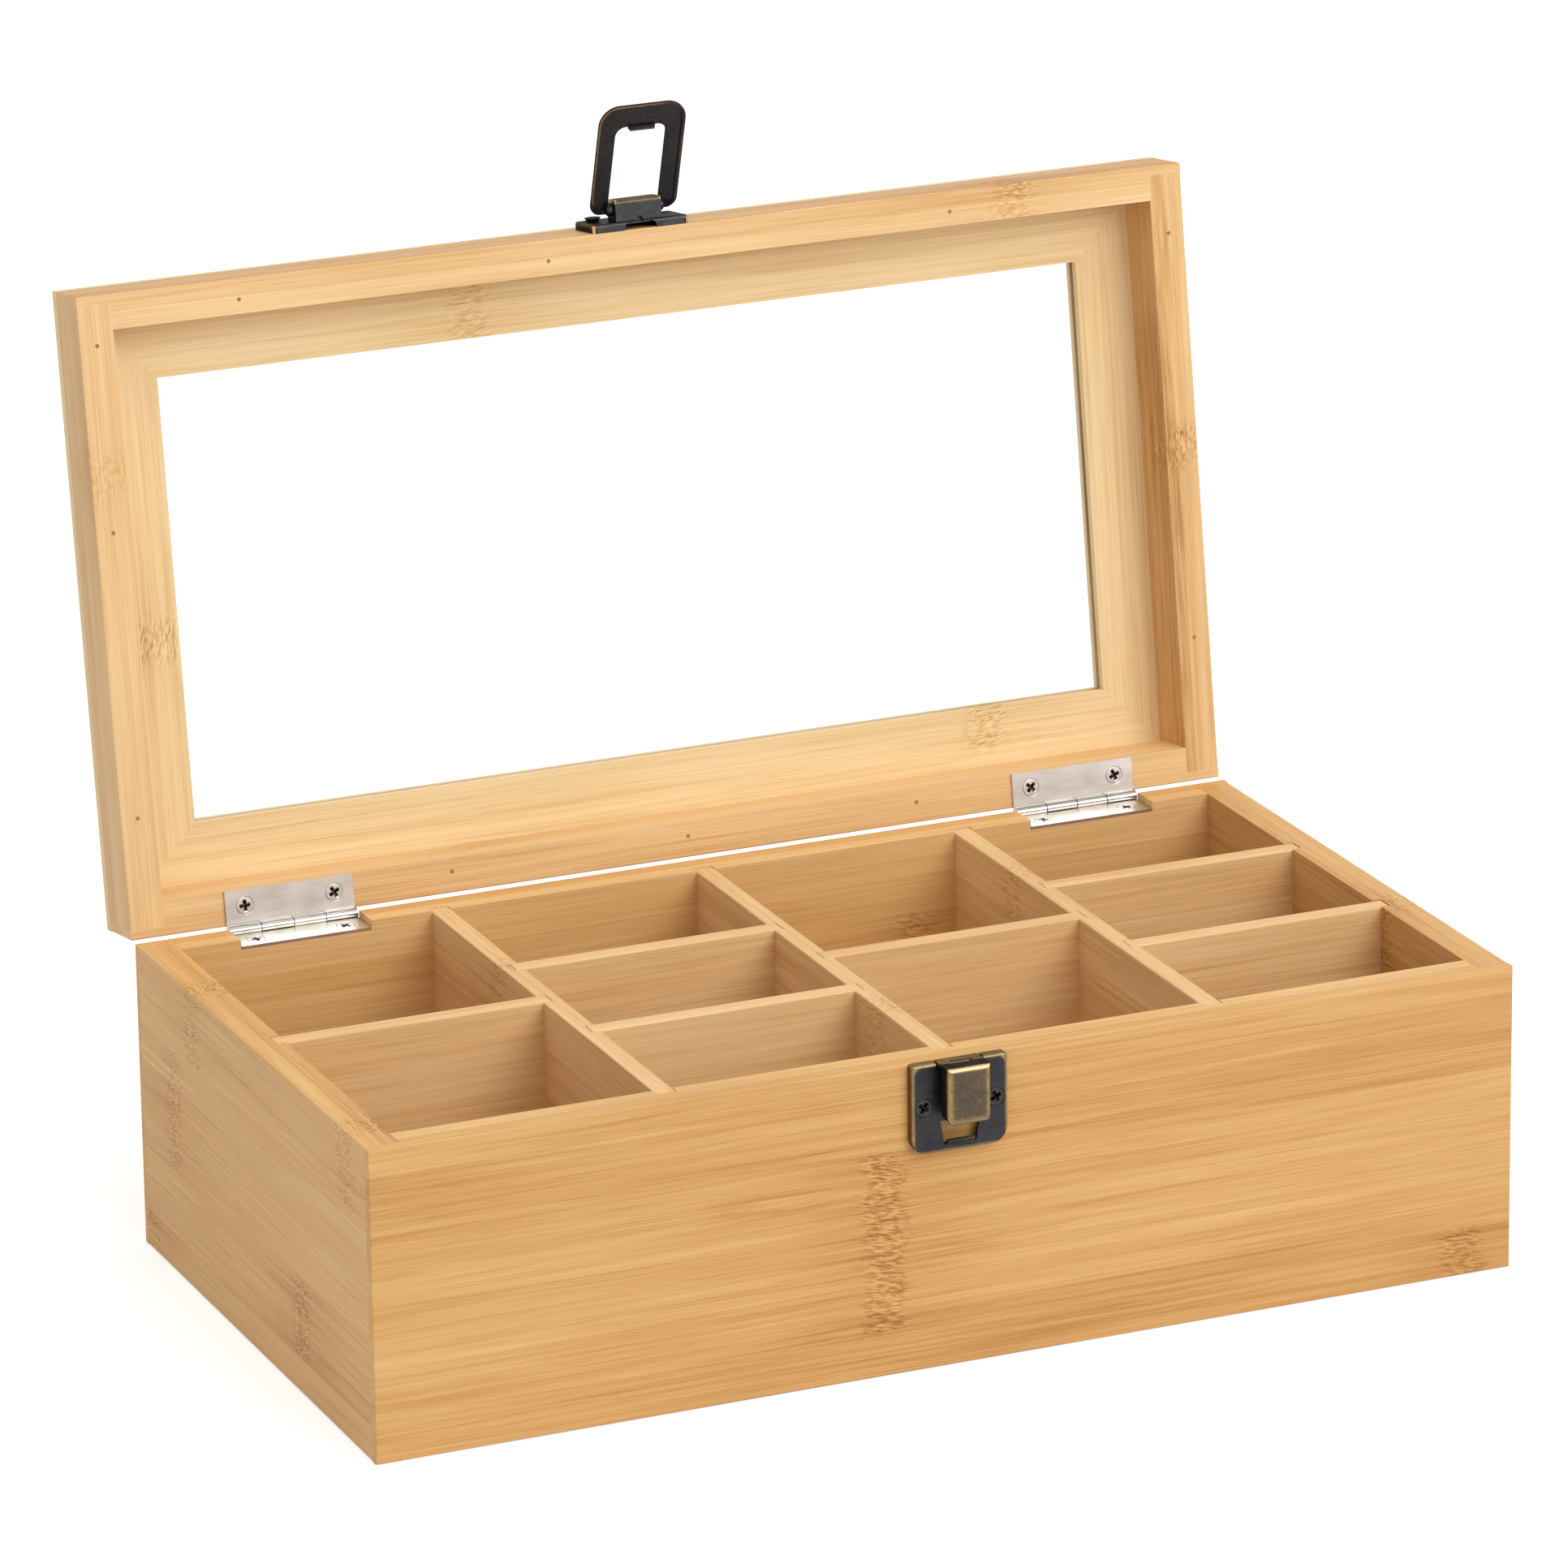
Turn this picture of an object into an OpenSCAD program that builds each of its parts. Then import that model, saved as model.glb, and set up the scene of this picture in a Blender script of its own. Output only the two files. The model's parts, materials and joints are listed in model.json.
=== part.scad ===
// Bamboo tea bag organizer box, shown with its lid leaning back on the hinge stops.
// Millimetres, +Z up, front towards -Y. The origin is the centre of the resting face.

/* [Box] */
// Outside width of the box, left to right
box_w = 335; // [290:1:400]
// Outside depth of the box, front to back
box_d = 180; // [150:1:220]
// Height of the base without the lid
base_h = 88; // [70:1:120]
// Thickness of the outer boards
wall = 10; // [9:0.1:12]
// Thin lip of the front and back boards that hides the ends of the side boards
corner_lip = 2.8; // [2:0.1:4]
// Radius of the eased outer edges
edge_r = 0.5; // [0.4:0.1:1.2]

/* [Floor] */
// Thickness of the floor panel
floor_t = 4; // [3:0.5:6]
// Width of the rebate round the underside of the walls that takes the floor
floor_rebate = 4; // [2:0.5:5]

/* [Dividers] */
// Thickness of the dividers
divider_t = 5.6; // [4:0.1:8]
// Depth of the slots that house the divider ends
slot_deep = 2.4; // [1.2:0.1:2.6]
// Step from the rim down to the divider tops
divider_drop = 0.2; // [0:0.1:5]
// Radius of the eased divider edges
divider_edge = 0.4; // [0.2:0.1:0.8]

/* [Lid] */
// Height of the lid rim boards
rim_h = 17; // [15:0.5:30]
// Thickness of the mitred window frame on the rim
frame_t = 7; // [6:0.5:12]
// Width of the window frame members
frame_w = 27.2; // [20:0.2:36]
// Radius of the rounded outer edge of the window frame
frame_round = 4.5; // [1.5:0.1:5]
// Thickness of the window pane
pane_t = 2; // [1.5:0.1:3]
// Depth of the groove that holds the pane
pane_groove = 4; // [2:0.5:6]
// Angle from the closed lid to the lid at rest on its stops
lid_angle = 98.5; // [92:0.1:105]
// Gap between the rims of the closed lid and the base
mating_gap = 0.5; // [0.4:0.1:1]

/* [Hinges] */
// Length of each hinge
hinge_w = 38; // [32:0.5:50]
// Gap from the lid end to the near end of a hinge
hinge_inset = 28; // [20:0.5:45]
// Sheet thickness of the hinge leaves
leaf_t = 0.9; // [0.8:0.1:1.1]
// Outside diameter of the hinge knuckles
knuckle_d = 3.3; // [3:0.1:3.6]
// Diameter of the hinge pin
pin_d = 1.6; // [1.4:0.1:1.8]
// Distance of the hinge axis behind the back face
axis_back = 1.2; // [1.2:0.1:1.8]
// Pitch of the two screws in each leaf
hinge_screw_pitch = 26.5; // [22:0.5:28]
// Head diameter of the hinge screws
hinge_head_d = 5.3; // [4.5:0.1:5.6]

/* [Catch on the base] */
// Width of the catch plate
catch_w = 28; // [27.4:0.1:32]
// Height of the catch plate
catch_h = 25.4; // [25:0.1:28]
// Height of the catch plate above the wood
catch_proud = 3; // [2.6:0.1:3.1]
// Width of the catch block
block_w = 12.7; // [11:0.1:13.4]
// Height of the front face of the catch block
block_h = 16.2; // [14:0.1:17]
// Reach of the catch block from the wood
block_out = 9.5; // [8.6:0.1:12]

/* [Hasp on the lid] */
// Width of the hasp plate
hasp_w = 29; // [28.4:0.1:34]
// Height of the hasp plate
hasp_h = 14; // [13:0.1:16]
// Height of the hasp plate above the wood
hasp_proud = 2.4; // [2.2:0.1:2.6]
// Width of the tongue that wraps the pivot bar
tongue_w = 13.8; // [10:0.1:14.4]
// Distance of the pivot bar from the wood
bar_out = 5.6; // [5.5:0.1:6.2]
// Height of the pivot bar above the lower edge of the lid
bar_up = 4.2; // [4:0.1:4.6]
// Diameter of the pivot bar
bar_d = 3.3; // [3:0.1:3.4]
// Outside width of the loop
loop_w = 26.2; // [25:0.1:30]
// Width of the side bars of the loop
loop_bar = 5.4; // [4.8:0.1:5.6]
// Reach of the loop from its pivot
loop_reach = 33; // [32:0.1:36]
// Turn of the loop from hanging straight down to the pose shown
loop_angle = 64.5; // [40:0.5:110]

/* [Hidden] */
$fn = 48;

bamboo = "#e2b678";
bamboo_light = "#edc892";
bamboo_deep = "#cf9f60";
nickel = "#c6c2bd";
bronze = "#55493b";
bronze_light = "#7d6a4a";

// Overlap that keeps a cutter clear of the face it opens
cut = 1;

// Planes of the box
half_w = box_w / 2;
half_d = box_d / 2;
inner_x = half_w - wall;
inner_y = half_d - wall;

// Divider grid: four equal columns, two or three equal compartments in each
columns = 4;
column_w = (2 * inner_x - (columns - 1) * divider_t) / columns;
column_pitch = column_w + divider_t;
third = (2 * inner_y - 2 * divider_t) / 3;
cross_y = (third + divider_t) / 2;
divider_top = base_h - divider_drop;
slot_end = 0.3;

// Hinge: each leaf is tangent to the barrel. The lid leaf lies on the rim of the lid, the base
// leaf at the foot of a recess that takes the whole closed hinge.
knuckle_r = knuckle_d / 2;
lid_z = base_h + mating_gap;
axis_y = half_d + axis_back;
axis_z = lid_z - knuckle_r;
leaf_low = axis_z - knuckle_r;
leaf_top = leaf_low + leaf_t;
running_fit = 0.05;
body_gap = 0.35;
knuckles = 4;
knuckle_gap = 0.3;
knuckle_w = (hinge_w - (knuckles - 1) * knuckle_gap) / knuckles;
barrel_clear = knuckle_r + body_gap;
heel_reach = 3.6;
heel_gap = 0.3;
hinge_x = half_w - hinge_inset - hinge_w / 2;
leaf_screw_y = (inner_y + axis_y - barrel_clear) / 2;

// Screws: countersunk head, straight shank with a short point, cross recess
head_deep = 1.7;
shank_d = 2.4;
hinge_screw_long = 11;
clasp_screw_long = 10;
point_long = 2;
point_d = 0.4;
recess_w = 1;
recess_deep = 0.8;
recess_share = 0.56;

// Clasp sheet and fits
sheet = 1;
clasp_head_d = 5.4;
dome = 0.8;
catch_screw_x = 10.5;
catch_screw_down = 12.1;
catch_corner = 4.6;
block_corner = 3;
block_ease = 1.3;
flange_deep = 4.6;
relief_w = 0.6;
relief_deep = 1.4;
block_slot_w = 6.6;
block_slot_h = 1.5;
block_slot_out = 2.9;
window_high_w = 11.6;
window_low_w = 9.4;
window_low = 2;
window_top = 0.3;
lip_root = 9;
lip_long = 1.9;
lip_t = 0.8;
lip_flare = 28;
hasp_head_d = 5;
hasp_screw_x = 10.9;
hasp_screw_up = 9;
hasp_corner = 0.9;
seam_w = 0.35;
arch_w = 9.6;
arch_h = 2;
arch_corner = 1.5;
tongue_low = 1.05;
tongue_high = 7.35;
tongue_top = bar_out + bar_d / 2 + 1.2;
tongue_ease = 1;
notch_d = 2.2;
loose_screw_lift = 1.2;

// Loop: a ring of sheet whose face stands off its pivot bar, with a turned outer rim
loop_face = 2;
loop_rim = 0.6;
loop_foot = 1.6;
loop_far_bar = 7;
loop_corner = 6;
loop_foot_corner = 3.2;
loop_window_corner = 3;
pivot_end = 0.5;
pivot_lap = 1;
latch_tab_w = 7.4;
latch_tab_deep = 1.9;

// Brads that nail the rim boards to the window frame, placed from the left end of the front and
// back boards and from the front end of the side boards
brad_d = 1.2;
brad_long = rim_h + 2;
brad_long_in = 6;
brad_side_in = 5;
brad_front = [47, 139, 262];
brad_back = [96, 168, 239];
brad_left = [14, 66, 146];
brad_right = [20, 78, 138];

// Rectangle from the origin with its own radius at each corner:
// lower left, lower right, upper right, upper left
module eased_rect(w, h, r) {
  difference() {
    square([w, h]);
    for (c = [[0, 0, 0], [1, 0, 1], [1, 1, 2], [0, 1, 3]])
      if (r[c[2]] > 0)
        translate([c[0] * w, c[1] * h])
          rotate(90 * c[2])
            difference() {
              translate([-cut, -cut]) square(r[c[2]] + cut);
              translate([r[c[2]], r[c[2]]]) circle(r[c[2]]);
            }
  }
}

// Cutter that rounds the straight edge along X through the origin of a solid in -Y, -Z
module edge_cutter(long, r) {
  rotate([90, 0, 90])
    linear_extrude(long)
      difference() {
        translate([-r, -r]) square(r + cut);
        translate([-r, -r]) circle(r);
      }
}

// Cutter for a rounded corner of a plate: the same edge, turned about the corner centre
module corner_cutter(corner_r, r) {
  rotate_extrude(angle = 90)
    difference() {
      translate([corner_r - r, -r]) square(r + cut);
      translate([corner_r - r, -r]) circle(r);
    }
}

// Flat plate with rounded corners and a rounded rim round its top face.
// The corner radii run lower left, lower right, upper right, upper left.
module domed_plate(w, h, t, corners, r) {
  spots = [[0, 0], [w, 0], [w, h], [0, h]];
  turn = [180, 270, 0, 90];
  shift = [[1, 1], [-1, 1], [-1, -1], [1, -1]];
  difference() {
    linear_extrude(t) eased_rect(w, h, corners);
    translate([corners[3], h, t]) edge_cutter(w - corners[3] - corners[2], r);
    translate([w - corners[1], 0, t]) rotate(180) edge_cutter(w - corners[1] - corners[0], r);
    translate([0, corners[0], t]) rotate(90) edge_cutter(h - corners[0] - corners[3], r);
    translate([w, h - corners[2], t]) rotate(-90) edge_cutter(h - corners[2] - corners[1], r);
    for (i = [0:3])
      translate([spots[i][0] + shift[i][0] * corners[i], spots[i][1] + shift[i][1] * corners[i], t])
        rotate(turn[i])
          corner_cutter(corners[i], r);
  }
}

// Countersunk screw along -Z with its head face at the origin
module screw(head_d, long) {
  difference() {
    union() {
      translate([0, 0, -head_deep])
        cylinder(d1 = shank_d, d2 = head_d, h = head_deep);
      translate([0, 0, point_long - long])
        cylinder(d = shank_d, h = long - point_long - head_deep / 2);
      translate([0, 0, -long])
        cylinder(d1 = point_d, d2 = shank_d, h = point_long);
    }
    translate([-head_d * recess_share / 2, -recess_w / 2, -recess_deep])
      cube([head_d * recess_share, recess_w, recess_deep + cut]);
    translate([-recess_w / 2, -head_d * recess_share / 2, -recess_deep])
      cube([recess_w, head_d * recess_share, recess_deep + cut]);
  }
}

// Hole that a screw fills, open above its head
module screw_hole(head_d, long) {
  cylinder(d = head_d, h = 2 * cut);
  translate([0, 0, -head_deep])
    cylinder(d1 = shank_d, d2 = head_d, h = head_deep);
  translate([0, 0, point_long - long])
    cylinder(d = shank_d, h = long - point_long - head_deep / 2);
  translate([0, 0, -long])
    cylinder(d1 = point_d, d2 = shank_d, h = point_long);
}

// Floor panel flush with the underside of the walls; its rebate is the same block reaching below
module floor_block(below = 0) {
  translate([-inner_x - floor_rebate, -inner_y - floor_rebate, -below])
    cube([2 * (inner_x + floor_rebate), 2 * (inner_y + floor_rebate), floor_t + below]);
}

// Long board across the front, its outer face at -half_d, rebated at both ends
module long_board(z0, h, top_r, low_r) {
  difference() {
    intersection() {
      translate([-half_w, -half_d, z0])
        linear_extrude(h)
          eased_rect(box_w, wall, [edge_r, edge_r, 0, 0]);
      translate([-half_w, -half_d, z0])
        rotate([90, 0, 90])
          linear_extrude(box_w)
            eased_rect(wall, h, [low_r, 0, 0, top_r]);
    }
    for (s = [-1, 1])
      translate([s * (half_w + inner_x + cut) / 2, -half_d + corner_lip + (wall + cut) / 2, z0 + h / 2])
        cube([wall + cut, wall + cut, h + 2 * cut], center = true);
  }
}

// Side board at +X, its outer face at half_w
module side_board(z0, h, top_r, low_r) {
  translate([inner_x, half_d - corner_lip, z0])
    rotate([90, 0, 0])
      linear_extrude(2 * (half_d - corner_lip))
        eased_rect(wall, h, [0, low_r, top_r, 0]);
}

// Slots in the front and back boards for the long dividers
module long_slots() {
  for (i = [-1:1])
    translate([i * column_pitch - divider_t / 2, -inner_y - slot_deep - slot_end, floor_t / 2])
      cube([divider_t, 2 * (inner_y + slot_deep + slot_end), base_h]);
}

// Slot for a cross divider, reaching both ways from the line between two columns
module cross_slot(x, y, side) {
  translate([x, y - divider_t / 2, floor_t / 2])
    translate([side < 0 ? -slot_deep - slot_end : 0, 0, 0])
      cube([slot_deep + slot_end, divider_t, base_h]);
}

// Recess across the top of the back board for a closed hinge and its barrel
module hinge_recess(x) {
  translate([x - hinge_w / 2 - body_gap, inner_y - cut, leaf_low])
    cube([hinge_w + 2 * body_gap, wall + 2 * cut, base_h]);
  translate([x - hinge_w / 2 - body_gap, axis_y, axis_z])
    rotate([0, 90, 0])
      cylinder(r = barrel_clear, h = hinge_w + 2 * body_gap);
}

// Screw places of both hinges in one leaf plane
module hinge_screw_places() {
  for (x = [-hinge_x, hinge_x], s = [-1, 1])
    translate([x + s * hinge_screw_pitch / 2, leaf_screw_y, leaf_top])
      children();
}

// Turns a hinge part of the base over, onto the closed lid
module mirrored_to_lid() {
  translate([0, 0, 2 * axis_z])
    mirror([0, 0, 1])
      children();
}

// Swings the closed lid back to its rest on the stops
module opened() {
  translate([0, axis_y, axis_z])
    rotate([-lid_angle, 0, 0])
      translate([0, -axis_y, -axis_z])
        children();
}

// Local frame of a clasp part: X across, Y up, Z out of the front face
module on_front(z) {
  translate([0, -half_d, z])
    rotate([90, 0, 0])
      children();
}

// Clasp screws on the base and on the lid
module catch_screw_places() {
  on_front(base_h)
    for (s = [-1, 1])
      translate([s * catch_screw_x, -catch_screw_down, catch_proud])
        children();
}

// The left screw of the hasp is not driven home
module hasp_screw_places() {
  on_front(lid_z)
    for (s = [-1, 1])
      translate([s * hasp_screw_x, hasp_screw_up, hasp_proud + (s < 0 ? loose_screw_lift : 0)])
        children();
}

// Base boards
module front_panel() {
  color(bamboo)
    difference() {
      long_board(0, base_h, edge_r, edge_r);
      floor_block(cut);
      long_slots();
      catch_screw_places() screw_hole(clasp_head_d, clasp_screw_long);
    }
}

module back_panel() {
  color(bamboo)
    difference() {
      rotate(180) long_board(0, base_h, edge_r, edge_r);
      floor_block(cut);
      long_slots();
      for (x = [-hinge_x, hinge_x])
        hinge_recess(x);
      hinge_screw_places() screw_hole(hinge_head_d, hinge_screw_long);
    }
}

module left_panel() {
  color(bamboo)
    difference() {
      rotate(180) side_board(0, base_h, edge_r, edge_r);
      floor_block(cut);
      cross_slot(-inner_x, 0, -1);
    }
}

module right_panel() {
  color(bamboo)
    difference() {
      side_board(0, base_h, edge_r, edge_r);
      floor_block(cut);
      for (s = [-1, 1])
        cross_slot(inner_x, s * cross_y, 1);
    }
}

module floor_panel() {
  color(bamboo_deep) floor_block();
}

// Long divider number i, with the slots for the cross dividers on both of its faces
module long_divider(i, left_y, right_y) {
  x = i * column_pitch;
  color(bamboo_light)
    difference() {
      translate([x - divider_t / 2, inner_y + slot_deep, floor_t])
        rotate([90, 0, 0])
          linear_extrude(2 * (inner_y + slot_deep))
            eased_rect(divider_t, divider_top - floor_t, [0, 0, divider_edge, divider_edge]);
      for (y = left_y)
        cross_slot(x - divider_t / 2, y, 1);
      for (y = right_y)
        cross_slot(x + divider_t / 2, y, -1);
    }
}

// Cross divider in column c, counted from the left, centred at y
module cross_divider(c, y) {
  x = -inner_x + c * column_pitch;
  color(bamboo_light)
    translate([x - slot_deep, y - divider_t / 2, floor_t])
      rotate([90, 0, 90])
        linear_extrude(column_w + 2 * slot_deep)
          eased_rect(divider_t, divider_top - floor_t, [0, 0, divider_edge, divider_edge]);
}

module divider_left() { long_divider(-1, [0], [-cross_y, cross_y]); }
module divider_middle() { long_divider(0, [-cross_y, cross_y], [0]); }
module divider_right() { long_divider(1, [0], [-cross_y, cross_y]); }
module cross_far_left() { cross_divider(0, 0); }
module cross_left_front() { cross_divider(1, -cross_y); }
module cross_left_back() { cross_divider(1, cross_y); }
module cross_right() { cross_divider(2, 0); }
module cross_far_right_front() { cross_divider(3, -cross_y); }
module cross_far_right_back() { cross_divider(3, cross_y); }

// One knuckle of the hinge barrel, number k from the left end
module knuckle(k, bore) {
  translate([k * (knuckle_w + knuckle_gap) - hinge_w / 2, axis_y, axis_z])
    rotate([0, 90, 0])
      difference() {
        cylinder(d = knuckle_d, h = knuckle_w);
        translate([0, 0, -cut])
          cylinder(d = bore, h = knuckle_w + 2 * cut);
      }
}

// Space round the knuckles of the other leaf
module knuckle_space(k) {
  translate([k * (knuckle_w + knuckle_gap) - hinge_w / 2 - knuckle_gap, axis_y, axis_z])
    rotate([0, 90, 0])
      cylinder(r = barrel_clear, h = knuckle_w + 2 * knuckle_gap);
}

// Hinge leaf of the base, carrying the two knuckles that start at number first
module leaf(first, bore) {
  difference() {
    union() {
      difference() {
        translate([-hinge_w / 2, inner_y, leaf_low])
          cube([hinge_w, axis_y - inner_y, leaf_t]);
        for (k = [1 - first, 3 - first])
          knuckle_space(k);
        translate([-hinge_w / 2 - cut, axis_y, axis_z])
          rotate([0, 90, 0])
            cylinder(d = (knuckle_d + pin_d) / 2, h = hinge_w + 2 * cut);
      }
      for (k = [first, first + 2])
        knuckle(k, bore);
    }
    for (s = [-1, 1])
      translate([s * hinge_screw_pitch / 2, leaf_screw_y, leaf_top])
        screw_hole(hinge_head_d, hinge_screw_long);
  }
}

module hinge_base_leaf(x) {
  color(nickel)
    translate([x, 0, 0])
      leaf(0, pin_d);
}

// The lid leaf also carries a heel on each knuckle, which meets the back board at rest
module hinge_lid_leaf(x) {
  color(nickel)
    opened()
      translate([x, 0, 0]) {
        mirrored_to_lid() leaf(1, pin_d + 2 * running_fit);
        for (k = [1, 3])
          translate([k * (knuckle_w + knuckle_gap) - hinge_w / 2, axis_y, axis_z])
            rotate([lid_angle, 0, 0])
              translate([0, heel_gap - axis_back, -heel_reach])
                cube([knuckle_w, leaf_t, heel_reach - pin_d / 2 - leaf_t / 2]);
      }
}

module left_hinge_base_leaf() { hinge_base_leaf(-hinge_x); }
module right_hinge_base_leaf() { hinge_base_leaf(hinge_x); }
module left_hinge_lid_leaf() { hinge_lid_leaf(-hinge_x); }
module right_hinge_lid_leaf() { hinge_lid_leaf(hinge_x); }

module hinge_pin(x) {
  color(nickel)
    translate([x - hinge_w / 2, axis_y, axis_z])
      rotate([0, 90, 0])
        cylinder(d = pin_d, h = hinge_w);
}

module left_hinge_pin() { hinge_pin(-hinge_x); }
module right_hinge_pin() { hinge_pin(hinge_x); }

module hinge_base_screws() {
  color(nickel) hinge_screw_places() screw(hinge_head_d, hinge_screw_long);
}

module hinge_lid_screws() {
  color(nickel)
    opened()
      mirrored_to_lid()
        hinge_screw_places()
          screw(hinge_head_d, hinge_screw_long);
}

// Catch on the base: a shallow tray with a window, and the block bent out of its upper edge
module catch_tray() {
  translate([-catch_w / 2, -catch_h, 0])
    difference() {
      domed_plate(catch_w, catch_h, catch_proud, [catch_corner, catch_corner, sheet, sheet], dome);
      translate([sheet, sheet, -cut])
        linear_extrude(catch_proud - sheet + cut)
          eased_rect(catch_w - 2 * sheet, catch_h - 2 * sheet,
            [catch_corner - sheet, catch_corner - sheet, 0, 0]);
    }
}

// Block with its face rounded into the sides: the front, side and top outlines crossed
module catch_block() {
  difference() {
    intersection() {
      translate([-block_w / 2, -block_h, 0])
        linear_extrude(block_out)
          eased_rect(block_w, block_h, [block_corner, block_corner, 0, 0]);
      translate([-block_w / 2, 0, 0])
        rotate([90, 0, 90])
          linear_extrude(block_w)
            translate([-block_h, 0])
              eased_rect(block_h, block_out, [0, 0, sheet, block_ease]);
      translate([-block_w / 2, 0, 0])
        rotate([90, 0, 0])
          linear_extrude(block_h)
            eased_rect(block_w, block_out, [0, 0, block_ease, block_ease]);
    }
    translate([sheet - block_w / 2, -block_h - cut, -cut])
      cube([block_w - 2 * sheet, block_h + cut - sheet, block_out + cut - sheet]);
    translate([-block_w / 2 - cut, -block_h - cut, -cut])
      cube([block_w + 2 * cut, block_h + cut - sheet, block_out - flange_deep + cut]);
    translate([-block_slot_w / 2, -2 * sheet, block_slot_out])
      cube([block_slot_w, 4 * sheet, block_slot_h]);
  }
}

// Window under the block, with the metal of its lower edge flared outwards as a lip
module catch_window() {
  translate([0, 0, catch_proud - sheet - cut / 2])
    linear_extrude(sheet + cut)
      polygon([
        [-window_low_w / 2, window_low - catch_h],
        [window_low_w / 2, window_low - catch_h],
        [window_high_w / 2, -block_h - window_top],
        [-window_high_w / 2, -block_h - window_top],
      ]);
}

module catch_lip() {
  translate([0, window_low - catch_h - lip_t / 4, catch_proud - sheet])
    rotate([lip_flare, 0, 0])
      linear_extrude(lip_t)
        polygon([
          [-lip_root / 2, 0],
          [lip_root / 2, 0],
          [lip_root / 2 - lip_t / 2, lip_long],
          [lip_t - lip_root / 2, lip_long],
        ]);
}

module catch_plate() {
  color(bronze_light)
    on_front(base_h)
      difference() {
        union() {
          difference() {
            catch_tray();
            catch_window();
          }
          catch_block();
          catch_lip();
        }
        for (s = [-1, 1]) {
          translate([s * (block_w + relief_w) / 2 - relief_w / 2, -relief_deep, -cut])
            cube([relief_w, relief_deep + cut, catch_proud + 2 * cut]);
          translate([s * catch_screw_x, -catch_screw_down, catch_proud])
            screw_hole(clasp_head_d, clasp_screw_long);
        }
      }
}

module catch_screws() {
  color(bronze) catch_screw_places() screw(clasp_head_d, clasp_screw_long);
}

// Rim boards of the lid, drawn on the closed lid
module brad_places() {
  for (x = brad_front)
    translate([x - half_w, brad_long_in - half_d, lid_z])
      children();
  for (x = brad_back)
    translate([x - half_w, half_d - brad_long_in, lid_z])
      children();
  for (y = brad_left)
    translate([brad_side_in - half_w, y - half_d, lid_z])
      children();
  for (y = brad_right)
    translate([half_w - brad_side_in, y - half_d, lid_z])
      children();
}

module brad_holes() {
  brad_places()
    translate([0, 0, -cut])
      cylinder(d = brad_d, h = brad_long + cut, $fn = 24);
}

module lid_front_rail() {
  color(bamboo)
    opened()
      difference() {
        long_board(lid_z, rim_h, 0, edge_r);
        brad_holes();
        hasp_screw_places() screw_hole(hasp_head_d, clasp_screw_long);
      }
}

module lid_back_rail() {
  color(bamboo)
    opened()
      difference() {
        rotate(180) long_board(lid_z, rim_h, 0, edge_r);
        brad_holes();
        mirrored_to_lid()
          hinge_screw_places()
            screw_hole(hinge_head_d, hinge_screw_long);
      }
}

module lid_side_rail(turn) {
  color(bamboo)
    opened()
      difference() {
        rotate(turn) side_board(lid_z, rim_h, 0, edge_r);
        brad_holes();
      }
}

module lid_left_rail() { lid_side_rail(180); }
module lid_right_rail() { lid_side_rail(0); }

module lid_brads() {
  color(bamboo_deep)
    opened()
      brad_places()
        cylinder(d = brad_d, h = brad_long, $fn = 24);
}

// Window frame member along the front of a frame long x deep, mitred at both ends
module frame_member(long, deep) {
  intersection() {
    translate([-long / 2, -deep / 2, 0])
      rotate([90, 0, 90])
        linear_extrude(long)
          difference() {
            eased_rect(frame_w, frame_t, [0, 0, edge_r, frame_round]);
            translate([frame_w - pane_groove, (frame_t - pane_t) / 2])
              square([pane_groove + cut, pane_t]);
          }
    linear_extrude(frame_t)
      polygon([
        [-long / 2, -deep / 2],
        [long / 2, -deep / 2],
        [long / 2 - frame_w, frame_w - deep / 2],
        [frame_w - long / 2, frame_w - deep / 2],
      ]);
  }
}

module frame_place(turn, long, deep) {
  color(bamboo_light)
    opened()
      difference() {
        translate([0, 0, lid_z + rim_h])
          rotate(turn)
            frame_member(long, deep);
        brad_holes();
      }
}

module frame_front() { frame_place(0, box_w, box_d); }
module frame_back() { frame_place(180, box_w, box_d); }
module frame_left() { frame_place(-90, box_d, box_w); }
module frame_right() { frame_place(90, box_d, box_w); }

module window_pane() {
  pane_in = frame_w - pane_groove + slot_end;
  color("#dfe8ea")
    opened()
      translate([pane_in - half_w, pane_in - half_d, lid_z + rim_h + (frame_t - pane_t) / 2])
        cube([box_w - 2 * pane_in, box_d - 2 * pane_in, pane_t]);
}

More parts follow.
